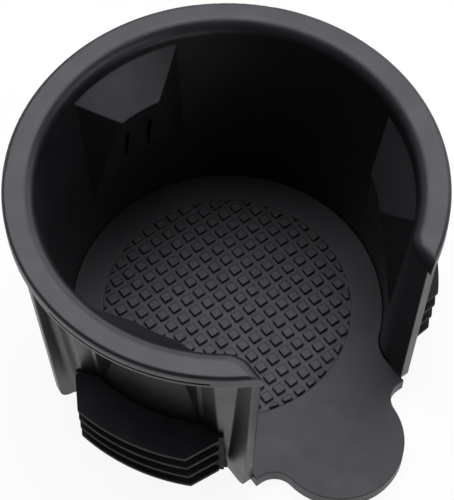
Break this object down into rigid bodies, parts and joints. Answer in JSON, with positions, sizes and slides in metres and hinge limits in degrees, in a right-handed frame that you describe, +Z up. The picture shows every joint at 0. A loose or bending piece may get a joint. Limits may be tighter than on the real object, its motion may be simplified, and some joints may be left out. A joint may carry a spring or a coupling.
{
  "type": "car cup holder",
  "caption": "Drop-in cup holder insert for a car console: a tapered cup with a wide rim, a slot for a mug handle, a studded rubber floor mat with a tongue, and finned rubber grip pads.",
  "frame": {"origin": "on the cup's axis in the plane of its flat underside", "axes": "+Z up along the cup's axis, the handle slot and the mat's tongue towards -Y, +X to the right seen from behind the tongue"},
  "size_m": [0.096, 0.1065, 0.0586],
  "materials": {
    "cup_plastic": "fine satin moulded grain, dark charcoal",
    "mat_rubber": "soft matt rubber with square studs",
    "pad_rubber": "matt black rubber"
  },
  "bodies": {
    "root": {"holder_body": "cup_plastic", "floor_mat": "mat_rubber", "left_grip_pad": "pad_rubber", "right_grip_pad": "pad_rubber"}
  },
  "joints": []
}
